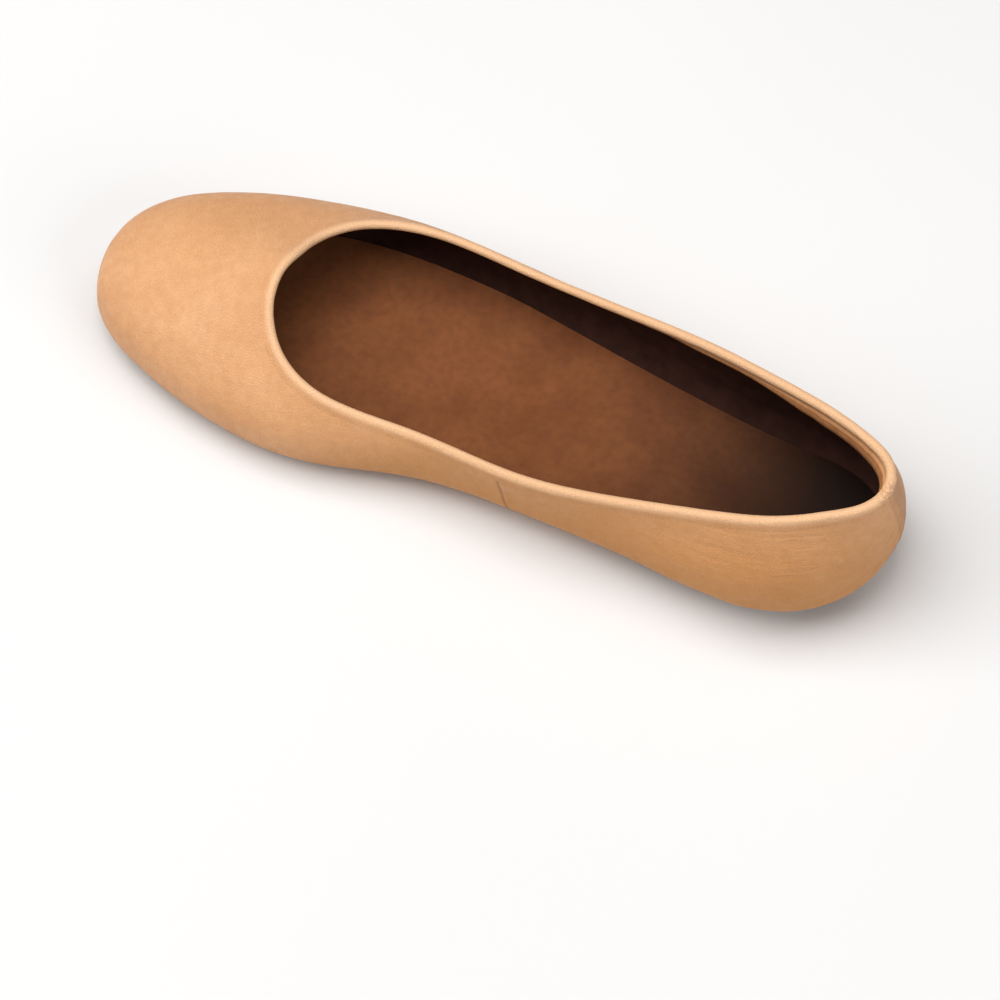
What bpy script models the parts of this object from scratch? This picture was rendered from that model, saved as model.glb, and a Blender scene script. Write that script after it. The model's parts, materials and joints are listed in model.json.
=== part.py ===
"""A woman's plain leather ballet flat for the right foot, about EU size 38.

The shoe stands on the floor, Z = 0. X runs from the heel to the toe, +Y is the
inner side of the foot and the origin is on the floor under the middle of the
shoe. Five pieces make it: the upper, the topline binding folded over its edge,
the insole, the outsole and the heel lift.

Everything follows the last, the form that a shoe is made on. The table SPOKES
gives sections of it: each stands upright and runs from a point of the middle
line out through the wall. Sizes are in millimetres and degrees until they are
placed in the scene.
"""
import math
from collections import namedtuple

import bmesh
import bpy
import numpy as np

MM = 0.001

# Thicknesses and clearances.
WALL = 1.4              # upper leather with its lining
GAP = 0.3               # clearance between two pieces that touch
SOLE_THICK = 3.0
INSOLE_THICK = 3.0
BINDING_THICK = 0.5     # the strip of leather folded over the topline

# Side view of the sole, along X from the back of the heel.
LIFT = 5.0              # height of the heel lift
SEAT_END = 58.0         # the level heel seat ends here
TREAD_START = 132.0     # the forefoot lies on the floor from here
TREAD_END = 196.0       # to here
TOE_TIP = 252.0
TOE_SPRING = 4.5        # height of the sole under the tip of the toe

# Edges of the sole, measured outwards from the feather line, where the upper
# meets the sole.
SOLE_TOP_EDGE = 0.2
SOLE_SIDE_UPPER = 0.8
SOLE_SIDE_LOWER = 0.6
SOLE_BOTTOM_EDGE = -0.4
SOLE_ROUND = 0.7        # height over which the sole's edges are rounded

# Heel lift.
LIFT_TOP_EDGE = -0.6
LIFT_LOW_EDGE = -1.2
LIFT_BOTTOM_EDGE = -1.8
LIFT_ROUND = 0.6
BREAST_X = 54.0         # front face of the lift on the middle line
BREAST_RADIUS = 150.0   # how gently that face is hollowed
BREAST_FACETS = 256

# Topline binding: its clearance to the wall and how far its legs reach down it.
BINDING_GAP = 0.35
OUTER_LEG = 1.8
INNER_LEG = 2.4

# Insole: its clearance to the wall, and how far its lower edge stays inside
# the turned-in margin of the upper.
INSOLE_GAP = 0.45
INSOLE_INSET = 0.6

# Fineness of the shapes.
COLUMNS = 96            # places round the shoe
TUCK_ROWS = 5           # from the feather line to the fullest line
WALL_ROWS = 9           # from the fullest line to the topline
TUCK_START = 15.0       # slope angle at which the wall leaves the feather line
ROUND_STEPS = 4         # over the rolled edge of the binding
SOLVE_STEPS = 60        # places tried when a row is looked for up the wall
WAY_STEP = 0.01         # step up the wall for reading its direction
SHARP_ANGLE = 40.0      # edges bent further than this stay sharp

# One row per section of the last, round from the back of the heel along the
# inner side, the toe and the outer side.
#   base    where the section starts, along the middle line
#   turn    its direction, from 180 at the back through 90, inner side, to 0, toe
#   reach   from there out to the fullest line of the wall
#   full_z  height of the fullest line
#   tuck    how far the wall turns in under it, down to the feather line
#   mouth   from the start out to the topline
#   top_z   height of the topline
#   lean    slope of the wall where it reaches the topline
#   rise    how far it goes straight up from the fullest line, as a share
#   ease    how soon it turns to that slope, as a share
Spoke = namedtuple("Spoke", "name base turn reach full_z tuck mouth top_z lean rise ease")
SPOKES = [
    Spoke("heel_back", 30, 180, 28.1, 20.8, 8.0, 24.4, 54.9, 86, 0.50, 0.35),
    Spoke("heel_inner", 30, 137, 27.7, 20.0, 8.0, 19.5, 53.5, 72, 0.50, 0.35),
    Spoke("counter_inner", 38, 95, 33.0, 20.0, 8.0, 22.5, 49.5, 66, 0.50, 0.35),
    Spoke("quarter_inner", 70, 90, 32.2, 18.5, 9.0, 28.0, 41.0, 74, 0.50, 0.35),
    Spoke("arch_inner", 105, 90, 31.5, 17.5, 12.0, 31.5, 34.5, 76, 0.50, 0.35),
    Spoke("waist_inner", 140, 90, 33.2, 15.5, 9.0, 30.0, 31.5, 66, 0.50, 0.35),
    Spoke("ball_inner", 168, 88, 40.4, 13.0, 6.5, 30.5, 32.0, 48, 0.50, 0.35),
    Spoke("joint_inner", 178, 60, 46.8, 13.0, 6.0, 23.7, 36.0, 30, 0.55, 0.40),
    Spoke("big_toe", 178, 34, 60.4, 12.1, 6.0, 20.8, 40.3, 21, 0.60, 0.50),
    Spoke("toe_inner", 178, 13, 76.5, 10.8, 6.0, 19.2, 42.1, 18, 0.60, 0.50),
    Spoke("toe_outer", 178, -8, 76.0, 12.0, 6.0, 18.4, 42.1, 18, 0.60, 0.50),
    Spoke("small_toes", 178, -30, 59.0, 12.5, 6.0, 19.6, 39.6, 21, 0.60, 0.50),
    Spoke("joint_outer", 178, -58, 45.6, 12.5, 5.5, 24.3, 35.8, 26, 0.55, 0.40),
    Spoke("ball_outer", 165, -90, 43.2, 13.0, 5.5, 34.8, 32.7, 49, 0.50, 0.35),
    Spoke("waist_outer", 135, -90, 42.6, 15.0, 6.0, 34.9, 32.4, 60, 0.50, 0.35),
    Spoke("arch_outer", 103, -90, 38.7, 17.0, 8.0, 33.0, 35.0, 67, 0.50, 0.35),
    Spoke("quarter_outer", 70, -90, 32.9, 19.0, 8.0, 29.3, 40.6, 82, 0.50, 0.35),
    Spoke("counter_outer", 38, -95, 30.7, 19.4, 8.0, 21.4, 48.0, 80, 0.50, 0.35),
    Spoke("heel_outer", 30, -137, 30.7, 19.2, 8.0, 19.7, 52.6, 82, 0.50, 0.35),
]

# Finishes: colour, roughness.
TAN_LEATHER = ("tan_leather", (0.72, 0.38, 0.19), 0.55)
EDGE_LEATHER = ("edge_leather", (0.76, 0.42, 0.22), 0.50)
BROWN_LINING = ("brown_lining", (0.19, 0.08, 0.04), 0.75)
SOLE_RUBBER = ("sole_rubber", (0.33, 0.19, 0.10), 0.70)
LIFT_RUBBER = ("lift_rubber", (0.12, 0.07, 0.045), 0.75)


def closed_curve(values, knots, length, at):
    """Smooth closed curve through values at knots, read at the places at."""
    count = len(values)
    step = np.diff(np.append(knots, knots[0] + length))
    matrix = np.zeros((count, count))
    right = np.zeros(count)
    for i in range(count):
        before, after = (i - 1) % count, (i + 1) % count
        slope_before = (values[i] - values[before]) / step[before]
        slope_after = (values[after] - values[i]) / step[i]
        matrix[i, before] += step[before]
        matrix[i, i] += 2.0 * (step[before] + step[i])
        matrix[i, after] += step[i]
        right[i] = 6.0 * (slope_after - slope_before)
    bend = np.linalg.solve(matrix, right)
    i = np.clip(np.searchsorted(knots, at, side="right") - 1, 0, count - 1)
    j = (i + 1) % count
    width = step[i]
    left, ahead = at - knots[i], knots[i] + width - at
    curve = (bend[i] * ahead**3 + bend[j] * left**3) / (6.0 * width)
    curve += (values[i] / width - bend[i] * width / 6.0) * ahead
    curve += (values[j] / width - bend[j] * width / 6.0) * left
    return curve


def last_sections():
    """The table's values at COLUMNS places spaced evenly round the shoe."""
    table = {}
    for field in Spoke._fields[1:]:
        table[field] = np.array([getattr(spoke, field) for spoke in SPOKES], float)
    turn = np.radians(table["turn"])
    x = table["base"] + table["reach"] * np.cos(turn)
    y = table["reach"] * np.sin(turn)
    sides = np.hypot(np.roll(x, -1) - x, np.roll(y, -1) - y)
    knots = np.concatenate([[0.0], np.cumsum(sides[:-1])])
    length = sides.sum()
    at = np.linspace(0.0, length, COLUMNS, endpoint=False)
    # The direction falls by a full turn on the way round, so that share is
    # taken off before the curve is made and put back after it.
    falling = np.degrees(np.unwrap(turn))
    table["turn"] = falling + 360.0 * knots / length
    sections = {field: closed_curve(table[field], knots, length, at) for field in table}
    sections["turn"] = np.radians(sections["turn"] - 360.0 * at / length)
    sections["lean"] = np.radians(sections["lean"])
    return sections


LAST = last_sections()


def sole_bottom(x):
    """Height of the sole's underside: heel seat, arch, tread and toe spring."""
    drop = np.clip((x - SEAT_END) / (TREAD_START - SEAT_END), 0.0, 1.0)
    spring = np.clip((x - TREAD_END) / (TOE_TIP - TREAD_END), 0.0, None)
    seat = LIFT + GAP
    return seat * (1.0 - drop**2 * (3.0 - 2.0 * drop)) + TOE_SPRING * spring**2


def place(reach, height):
    """Points at the given reach along every section, at the given height."""
    x = LAST["base"] + reach * np.cos(LAST["turn"])
    y = reach * np.sin(LAST["turn"])
    return np.stack([x, y, height + np.zeros(COLUMNS)], axis=1)


def feather_row(outwards):
    """The line where upper and sole meet, moved outwards, on the floor."""
    return place(LAST["reach"] - LAST["tuck"] + outwards, 0.0)


FEATHER_Z = sole_bottom(feather_row(0.0)[:, 0]) + SOLE_THICK + GAP


def wall_row(way):
    """Outer face of the wall: way runs 0 to 1 up the tuck, 1 to 2 up the wall."""
    start = math.radians(TUCK_START)
    angle = start + (math.pi / 2.0 - start) * np.clip(way, 0.0, 1.0)
    out = (np.sin(angle) - math.sin(start)) / (1.0 - math.sin(start))
    up = (math.cos(start) - np.cos(angle)) / math.cos(start)
    tuck_reach = LAST["reach"] - LAST["tuck"] * (1.0 - out)
    tuck_height = FEATHER_Z + (LAST["full_z"] - FEATHER_Z) * up

    share = np.clip(way - 1.0, 0.0, 1.0)
    climb = LAST["top_z"] - LAST["full_z"]
    ease = LAST["ease"] * np.hypot(LAST["reach"] - LAST["mouth"], climb)
    reaches = (
        LAST["reach"],
        LAST["reach"],
        LAST["mouth"] + ease * np.cos(LAST["lean"]),
        LAST["mouth"],
    )
    heights = (
        LAST["full_z"],
        LAST["full_z"] + LAST["rise"] * climb,
        LAST["top_z"] - ease * np.sin(LAST["lean"]),
        LAST["top_z"],
    )
    wall_reach = np.zeros(COLUMNS)
    wall_height = np.zeros(COLUMNS)
    for i, weight in enumerate((1.0, 3.0, 3.0, 1.0)):
        part = weight * (1.0 - share) ** (3 - i) * share**i
        wall_reach += part * reaches[i]
        wall_height += part * heights[i]
    in_tuck = np.asarray(way) < 1.0
    reach = np.where(in_tuck, tuck_reach, wall_reach)
    return place(reach, np.where(in_tuck, tuck_height, wall_height))


def unit(vectors):
    return vectors / np.linalg.norm(vectors, axis=1)[:, None]


def wall_directions(way):
    """Outward and upward directions of the wall along a row."""
    low = np.clip(np.asarray(way) - WAY_STEP, 0.0, 2.0)
    high = np.clip(np.asarray(way) + WAY_STEP, 0.0, 2.0)
    row = wall_row(way)
    around = np.roll(row, -1, axis=0) - np.roll(row, 1, axis=0)
    upward = unit(wall_row(high) - wall_row(low))
    outward = unit(np.cross(upward, around))
    return outward, upward


def skin_row(way, depth):
    """A row at the given depth inside the outer face of the wall."""
    outward, _ = wall_directions(way)
    return wall_row(way) - depth * outward


def way_below_topline(distance):
    """How far up the wall each section is, the given distance below its edge."""
    ways = np.linspace(1.0, 2.0, SOLVE_STEPS)
    rows = np.array([wall_row(way) for way in ways])
    steps = np.linalg.norm(np.diff(rows, axis=0), axis=2)
    below = np.zeros((SOLVE_STEPS, COLUMNS))
    below[:-1] = np.cumsum(steps[::-1], axis=0)[::-1]
    found = [np.interp(-distance, -below[:, i], ways) for i in range(COLUMNS)]
    return np.array(found)


def way_at_height(depth, height):
    """How far up the wall a skin row passes the given heights."""
    ways = np.linspace(0.0, 2.0, SOLVE_STEPS)
    levels = np.array([skin_row(way, depth)[:, 2] for way in ways])
    found = [np.interp(height[i], levels[:, i], ways) for i in range(COLUMNS)]
    return np.array(found)


def shoe_centre():
    """Middle of the shoe's outline, seen from above."""
    ways = np.linspace(0.0, 2.0, SOLVE_STEPS)
    points = np.concatenate([wall_row(way) for way in ways])
    middle = (points.min(axis=0) + points.max(axis=0)) / 2.0
    return np.array([middle[0], middle[1], 0.0])


CENTRE = shoe_centre()


def material(finish):
    name, colour, roughness = finish
    surface = bpy.data.materials.new(name)
    surface.use_nodes = True
    shader = surface.node_tree.nodes["Principled BSDF"]
    shader.inputs["Base Color"].default_value = (*colour, 1.0)
    shader.inputs["Roughness"].default_value = roughness
    shader.inputs["Metallic"].default_value = 0.0
    return surface


def loft(name, rings, finish, caps=False, joined=False):
    """A skin over rings of points, in the order that faces it outwards.

    With caps, the first and last rings are closed by strips across the shoe.
    With joined, the last ring is joined to the first, as in a bent tube.
    """
    shape = bmesh.new()
    rows = [[shape.verts.new((point - CENTRE) * MM) for point in ring] for ring in rings]
    pairs = list(zip(rows, rows[1:]))
    if joined:
        pairs.append((rows[-1], rows[0]))
    for lower, upper in pairs:
        for i in range(COLUMNS):
            j = (i + 1) % COLUMNS
            shape.faces.new((lower[j], lower[i], upper[i], upper[j]))
    if caps:
        close_across(shape, rows[0])
        close_across(shape, rows[-1])
        bmesh.ops.recalc_face_normals(shape, faces=shape.faces)
    mesh = bpy.data.meshes.new(name)
    shape.to_mesh(mesh)
    shape.free()
    mesh.shade_smooth()
    mesh.set_sharp_from_angle(angle=math.radians(SHARP_ANGLE))
    mesh.materials.append(material(finish))
    piece = bpy.data.objects.new(name, mesh)
    SHOE.objects.link(piece)
    return piece


def close_across(shape, row):
    """Close a ring with strips from its inner side to its outer side."""
    half = COLUMNS // 2
    for i in range(half):
        corners = [row[i], row[i + 1], row[COLUMNS - i - 1], row[-i]]
        shape.faces.new(list(dict.fromkeys(corners)))


def build_upper():
    """Vamp and quarters in one wall, open at the top and underneath."""
    ways = np.concatenate([
        np.linspace(0.0, 1.0, TUCK_ROWS, endpoint=False),
        np.linspace(1.0, 2.0, WALL_ROWS),
    ])
    upper = loft("upper", [wall_row(way) for way in ways], TAN_LEATHER)
    shell = upper.modifiers.new("wall thickness", "SOLIDIFY")
    shell.thickness = WALL * MM
    shell.offset = -1.0
    shell.use_even_offset = True
    return upper


def build_binding():
    """A strip of leather folded over the topline, with a rolled top."""
    outside = BINDING_GAP + BINDING_THICK
    inside = WALL + BINDING_GAP + BINDING_THICK
    outer_low = way_below_topline(OUTER_LEG)
    inner_low = way_below_topline(INNER_LEG)
    edge = wall_row(2.0)
    outward, upward = wall_directions(2.0)
    middle = edge + outward * (outside - inside) / 2.0
    radius = (outside + inside) / 2.0
    rings = [skin_row(outer_low, -BINDING_GAP), skin_row(outer_low, -outside)]
    for step in range(ROUND_STEPS + 1):
        angle = math.pi * step / ROUND_STEPS
        rings.append(middle + radius * (math.cos(angle) * outward + math.sin(angle) * upward))
    rings.append(skin_row(inner_low, inside))
    rings.append(skin_row(inner_low, WALL + BINDING_GAP))
    rings.append(edge - (WALL + BINDING_GAP) * outward + BINDING_GAP * upward)
    rings.append(edge + BINDING_GAP * outward + BINDING_GAP * upward)
    return loft("topline_binding", rings, EDGE_LEATHER, joined=True)


def build_insole():
    """A board that fills the floor of the shoe and laps over the turned-in margin."""
    depth = WALL + INSOLE_GAP
    inwards = np.stack([np.cos(LAST["turn"]), np.sin(LAST["turn"]), np.zeros(COLUMNS)], axis=1)
    rim = skin_row(0.0, depth) - INSOLE_INSET * inwards
    foot = rim.copy()
    foot[:, 2] = sole_bottom(foot[:, 0]) + SOLE_THICK + GAP
    top = skin_row(way_at_height(depth, FEATHER_Z + INSOLE_THICK), depth)
    return loft("insole", [foot, rim, top], BROWN_LINING, caps=True)


def sole_row(outwards, above_bottom):
    row = feather_row(outwards)
    row[:, 2] = sole_bottom(row[:, 0]) + above_bottom
    return row


def build_outsole():
    """A thin sole with a level seat, an arch, a level tread and a sprung toe."""
    rings = [
        sole_row(SOLE_BOTTOM_EDGE, 0.0),
        sole_row(SOLE_SIDE_LOWER, SOLE_ROUND),
        sole_row(SOLE_SIDE_UPPER, SOLE_THICK - SOLE_ROUND),
        sole_row(SOLE_TOP_EDGE, SOLE_THICK),
    ]
    return loft("outsole", rings, SOLE_RUBBER, caps=True)


def build_heel_lift():
    """A low lift under the heel seat, with a gently hollowed front face."""
    rings = []
    for outwards, height in (
        (LIFT_BOTTOM_EDGE, 0.0),
        (LIFT_LOW_EDGE, LIFT_ROUND),
        (LIFT_TOP_EDGE, LIFT),
    ):
        row = feather_row(outwards)
        row[:, 2] = height
        rings.append(row)
    lift = loft("heel_lift", rings, LIFT_RUBBER, caps=True)

    bpy.ops.mesh.primitive_cylinder_add(
        vertices=BREAST_FACETS,
        radius=BREAST_RADIUS * MM,
        depth=4.0 * LIFT * MM,
        location=((BREAST_X + BREAST_RADIUS - CENTRE[0]) * MM, 0.0, 0.0),
    )
    cutter = bpy.context.active_object
    cutter.name = "breast_cutter"
    cutter.display_type = "WIRE"
    cutter.hide_render = True
    for collection in list(cutter.users_collection):
        collection.objects.unlink(cutter)
    CUTTERS.objects.link(cutter)
    cut = lift.modifiers.new("breast", "BOOLEAN")
    cut.operation = "DIFFERENCE"
    cut.solver = "EXACT"
    cut.object = cutter
    return lift


for leftover in list(bpy.data.objects):
    bpy.data.objects.remove(leftover)
SHOE = bpy.data.collections.new("ballet_flat")
CUTTERS = bpy.data.collections.new("cutters")
bpy.context.scene.collection.children.link(SHOE)
bpy.context.scene.collection.children.link(CUTTERS)

build_outsole()
build_heel_lift()
build_insole()
build_upper()
build_binding()
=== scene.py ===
import json
import math
from collections import namedtuple

import bmesh
import bpy
from mathutils import Matrix, Vector, noise
from mathutils.bvhtree import BVHTree
from mathutils.kdtree import KDTree

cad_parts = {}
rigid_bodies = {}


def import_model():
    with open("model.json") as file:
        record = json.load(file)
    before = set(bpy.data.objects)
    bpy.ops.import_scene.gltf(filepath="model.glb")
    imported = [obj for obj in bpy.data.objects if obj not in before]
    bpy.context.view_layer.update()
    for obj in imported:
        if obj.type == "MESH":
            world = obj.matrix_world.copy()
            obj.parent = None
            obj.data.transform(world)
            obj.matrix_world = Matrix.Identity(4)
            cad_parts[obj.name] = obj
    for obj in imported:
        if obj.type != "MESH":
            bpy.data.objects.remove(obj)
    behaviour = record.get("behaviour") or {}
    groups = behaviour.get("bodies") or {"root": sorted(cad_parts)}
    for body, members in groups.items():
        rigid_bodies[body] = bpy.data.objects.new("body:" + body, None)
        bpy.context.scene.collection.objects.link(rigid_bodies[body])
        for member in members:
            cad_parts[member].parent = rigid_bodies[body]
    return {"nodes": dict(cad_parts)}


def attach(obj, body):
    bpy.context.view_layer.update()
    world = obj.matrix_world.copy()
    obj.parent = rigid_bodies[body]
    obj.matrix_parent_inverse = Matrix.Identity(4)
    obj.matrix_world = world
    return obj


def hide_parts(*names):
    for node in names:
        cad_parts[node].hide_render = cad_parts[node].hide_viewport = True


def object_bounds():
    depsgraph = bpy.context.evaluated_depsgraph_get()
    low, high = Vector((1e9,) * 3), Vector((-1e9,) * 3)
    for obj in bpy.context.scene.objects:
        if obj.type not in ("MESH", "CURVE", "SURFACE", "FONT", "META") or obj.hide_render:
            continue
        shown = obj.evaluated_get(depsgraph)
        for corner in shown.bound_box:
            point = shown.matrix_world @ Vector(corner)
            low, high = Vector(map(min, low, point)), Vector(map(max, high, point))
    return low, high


# The looks of the ballet flat: grained leather over the last, a rolled topline,
# a facing inside the heel, a leather sock and rubber underneath, on a pale floor.
#
# X runs from the heel to the toe, +Y is the inner side of the foot and +Z is up.
# Sizes are millimetres, and MM turns them into metres. Places along the shoe are
# measured from the back of the heel.

for leftover in list(bpy.data.objects):
    bpy.data.objects.remove(leftover)
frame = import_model()
cad_low, cad_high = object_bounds()

MM = 0.001
MERGE = 0.002 * MM      # corners of the CAD triangles nearer than this are one point
GRID_LIKE = 2.0         # how strongly the pairing of triangles keeps to regular rows
SHARP = math.radians(45.0)   # edges bent further than this stay sharp
SHORT_LINE = 60         # fewer points than this are a kink, not a rim
FIT_ROUNDS = 3          # corrections that bring a rounded skin back to its own points
HALVINGS = 2            # times each face of the last's skin is halved

WALL = 1.4              # thickness of the upper
LIP_SWELL = 0.30        # how far the leather fills out towards the topline
LIP_FADE = 9.0          # and over what distance below it
SMOOTH_LIP = 1.0        # the folds start this far below the topline
FOLDS_FULL = 4.0        # and have their full height this far below it
MARGIN_HEIGHT = 5.0     # up to this height the leather lies as the solid has it
FREE_HEIGHT = 12.0      # and from here up it takes its full relief


# ------------------------------------------------------------ small functions


def from_heel(distance):
    """The X of a place this far from the back of the heel."""
    return cad_low.x + distance * MM


def along_shoe(point):
    """How far a point is from the back of the heel, in millimetres."""
    return (point.x - cad_low.x) / MM


def bell(offset):
    """1 at the middle, falling smoothly to 0 at -1 and at +1."""
    return max(0.0, 1.0 - offset * offset) ** 2


def ramp(value, start, end):
    """0 before start and 1 after end, smooth between them."""
    share = min(1.0, max(0.0, (value - start) / (end - start)))
    return share * share * (3.0 - 2.0 * share)


def ripple(point, size):
    """Smooth noise from about -0.6 to 0.6 whose waves are this many millimetres."""
    return noise.noise(point / (size * MM))


def new_piece(name, shape, surfaces, node=None):
    """Makes an object of a bmesh and lets it stand for a CAD node."""
    mesh = bpy.data.meshes.new(name)
    shape.to_mesh(mesh)
    shape.free()
    mesh.shade_smooth()
    mesh.set_sharp_from_angle(angle=SHARP)
    for surface in surfaces:
        mesh.materials.append(surface)
    piece = bpy.data.objects.new(name, mesh)
    bpy.context.scene.collection.objects.link(piece)
    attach(piece, "root")
    if node:
        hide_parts(node)
    return piece


# ----------------------------------------------------------- skins and lines


def quad_copy(node):
    """The node's solid as quads: its loose triangles are merged and paired."""
    shape = bmesh.new()
    shape.from_mesh(frame["nodes"][node].data)
    bmesh.ops.remove_doubles(shape, verts=shape.verts[:], dist=MERGE)
    bmesh.ops.join_triangles(
        shape,
        faces=shape.faces[:],
        angle_face_threshold=math.pi,
        angle_shape_threshold=math.pi,
        topology_influence=GRID_LIKE,
    )
    return shape


def rounded(shape, halvings):
    """Divides a shape smoothly. Its own points stay, and so do its sharp edges."""
    crease = shape.edges.layers.float.new("crease_edge")
    for edge in shape.edges:
        if edge.calc_face_angle(0.0) > SHARP:
            edge[crease] = 1.0
    cage = bpy.data.meshes.new("cage")
    shape.to_mesh(cage)
    shape.free()
    holder = bpy.data.objects.new("cage", cage)
    bpy.context.scene.collection.objects.link(holder)
    division = holder.modifiers.new("division", "SUBSURF")
    division.levels = division.render_levels = halvings
    aims = [vertex.co.copy() for vertex in cage.vertices]
    for _ in range(FIT_ROUNDS):
        reached = holder.evaluated_get(bpy.context.evaluated_depsgraph_get()).data
        missed = [aim - reached.vertices[i].co for i, aim in enumerate(aims)]
        for vertex, miss in zip(cage.vertices, missed):
            vertex.co += miss
        cage.update()
    fine = bmesh.new()
    fine.from_mesh(holder.evaluated_get(bpy.context.evaluated_depsgraph_get()).data)
    bpy.data.objects.remove(holder)
    fine.normal_update()
    return fine


def rim_lines(shape):
    """The closed lines of sharp edges, each as a list of points, from low to high."""
    sharp = {edge for edge in shape.edges if edge.calc_face_angle(0.0) > SHARP}
    lines = []
    while sharp:
        line = list(sharp.pop().verts)
        onward = line
        while onward and line[0] is not line[-1]:
            onward = [edge for edge in line[-1].link_edges if edge in sharp][:1]
            for edge in onward:
                sharp.remove(edge)
                line.append(edge.other_vert(line[-1]))
        if len(line) > SHORT_LINE:
            lines.append(line[:-1])
    return sorted(lines, key=lambda line: sum(v.co.z for v in line) / len(line))


def length_in_x(line):
    return max(v.co.x for v in line) - min(v.co.x for v in line)


LINE_STEPS = 8          # places tried between two neighbouring points of a line


def nearest_on(line):
    """A function that gives the place on a closed line nearest to a point."""
    tree = KDTree(len(line) * LINE_STEPS)
    for i, vertex in enumerate(line):
        ahead = line[(i + 1) % len(line)]
        for step in range(LINE_STEPS):
            place = vertex.co.lerp(ahead.co, step / LINE_STEPS)
            tree.insert(place, i * LINE_STEPS + step)
    tree.balance()
    return lambda point: tree.find(point)[0]


Station = namedtuple("Station", "point outward down")


def stations(line, other):
    """Points on an edge of the topline, with its outward and downward directions.

    other is the edge on the far side of the wall.
    """
    across_wall = nearest_on(other)
    sign = 1.0 if length_in_x(line) > length_in_x(other) else -1.0
    found = []
    for i, vertex in enumerate(line):
        along = line[(i + 1) % len(line)].co - line[i - 1].co
        outward = sign * (vertex.co - across_wall(vertex.co)).normalized()
        down = along.cross(outward).normalized()
        if down.z > 0.0:
            down.negate()
        found.append(Station(vertex.co.copy(), outward, down))
    return found


# ------------------------------------------------------- what shapes the leather

# Soft folds in the leather. Each runs from its start to its end, seen from one
# side: "top" gives distance from the heel and Y, "inner" and "outer" give
# distance from the heel and height, and "back" gives Y and height. A negative
# height is a trough. bow is how far its middle stands off the straight line.
Fold = namedtuple("Fold", "name seen start end bow width height")
FOLDS = [
    Fold("throat corner", "top", (186, 28), (150, 37), 1.5, 5.5, -0.18),
    Fold("throat corner ridge", "top", (183, 33), (152, 41), 1.5, 4.5, 0.08),
    Fold("inner quarter", "inner", (74, 26.5), (14, 36), -5.0, 6.5, -0.34),
    Fold("inner quarter ridge", "inner", (70, 33), (16, 43), -4.0, 5.0, 0.16),
    Fold("inner lip", "inner", (56, 41.5), (24, 47.5), 0.5, 3.0, -0.16),
    Fold("inner heel", "inner", (30, 30), (8, 27), 1.5, 3.0, -0.14),
    Fold("inner heel low", "inner", (34, 22), (7, 19), 1.0, 2.6, -0.12),
    Fold("inner waist", "inner", (128, 23), (92, 24), -1.5, 3.2, -0.14),
    Fold("inner joint", "inner", (172, 22), (150, 19), 1.0, 3.5, -0.20),
    Fold("outer quarter", "outer", (78, 27), (16, 35), -4.0, 6.5, -0.30),
    Fold("outer quarter ridge", "outer", (74, 33), (20, 41), -3.0, 5.0, 0.14),
    Fold("outer joint", "top", (178, -30), (163, -38), 1.0, 3.2, -0.18),
    Fold("outer joint low", "outer", (176, 17), (152, 20), 0.8, 3.2, -0.16),
    Fold("back ridge", "back", (-2.0, 52.0), (-6.0, 8.0), -1.5, 7.0, 0.70),
]

# The trough that the bead leaves round the throat, on its inner side.
THROAT_TROUGH = 0.15
THROAT_TROUGH_BELOW = 7.5   # distance from the topline
THROAT_TROUGH_WIDTH = 6.0
THROAT_START = 168.0        # from the heel, where it fades in
THROAT_FULL = 186.0
THROAT_OUTER = -18.0        # Y, where it fades out towards the outer side
THROAT_INNER = -6.0

# Seams in the upper, written as the folds are: the closed seam that joins the vamp to the inner
# quarter, and the back seam. dark is how much a seam darkens the leather, over its half width in
# soft, and beyond is how much darker a band beside it on its far side starts.
Seam = namedtuple("Seam", "name seen start end bow depth dark soft beyond")
SEAMS = [
    Seam("side seam", "inner", (110.0, 32.6), (105.4, 6.0), 0.7, 0.22, 0.55, 0.36, 0.0),
    Seam("back seam", "back", (2.2, 56.0), (-4.0, 6.0), -1.4, 0.12, 0.22, 0.80, 0.34),
]
SEAM_HALF_WIDTH = 0.75
PANEL_DARK = 2.5        # distance from the seam where that band is darkest
PANEL_FADE = 6.0        # it clears from here
PANEL_CLEAR = 20.0      # to here
SEAM_PAD = 0.10         # the leather stands a little proud beside the stitches
SEAM_PAD_AT = 1.6
SEAM_REACH = 3.4        # the skin is divided finer this far to each side
SEAM_CUTS = 4

# The back seam is gathered where it goes over the topline.
GATHER_DEPTH = 0.36
GATHER_REACH = 5.6
GATHER_SIZE = 1.6       # between two creases
GATHER_CREASE = 0.32    # how wide the creases are, as a share of that
GATHER_PUFF = 0.3       # how far the leather puffs up between them, as a share of depth
GATHER_SHADE = 1.6      # painted shade in their creases: how much a millimetre of depth darkens them
GATHER_CUTS = 5

# Fine wrinkles run round the heel and along the quarters, where the leather is
# pulled over the counter. They slope as the topline does.
WRINKLE_HEIGHT = 0.13
WRINKLE_LENGTH = 9.0
WRINKLE_SPACING = 1.9
WRINKLE_SLOPE = 0.12
WRINKLE_END = 110.0     # from the heel

SIDE_TURN = 0.2         # how far a surface has to turn to a side to belong to it
BACK_REACH = 22.0       # the back of the heel lies this near its hindmost point

# A line through the middle of the foot, which tells outer faces from inner ones.
CORE_BACK = 34.0        # from the heel
CORE_FRONT = 198.0
CORE_HEIGHT = 17.0


def seen_from(side, point):
    """A point's two coordinates, in millimetres, as the folds give them."""
    if side == "top":
        return along_shoe(point), point.y / MM
    if side == "back":
        return point.y / MM, point.z / MM
    return along_shoe(point), point.z / MM


def on_side(side, point, normal):
    if side == "top":
        return normal.z > SIDE_TURN
    if side == "inner":
        return point.y > 0.0 and normal.y > SIDE_TURN
    if side == "outer":
        return point.y < 0.0 and normal.y < -SIDE_TURN
    return along_shoe(point) < BACK_REACH and normal.x < -SIDE_TURN


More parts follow.
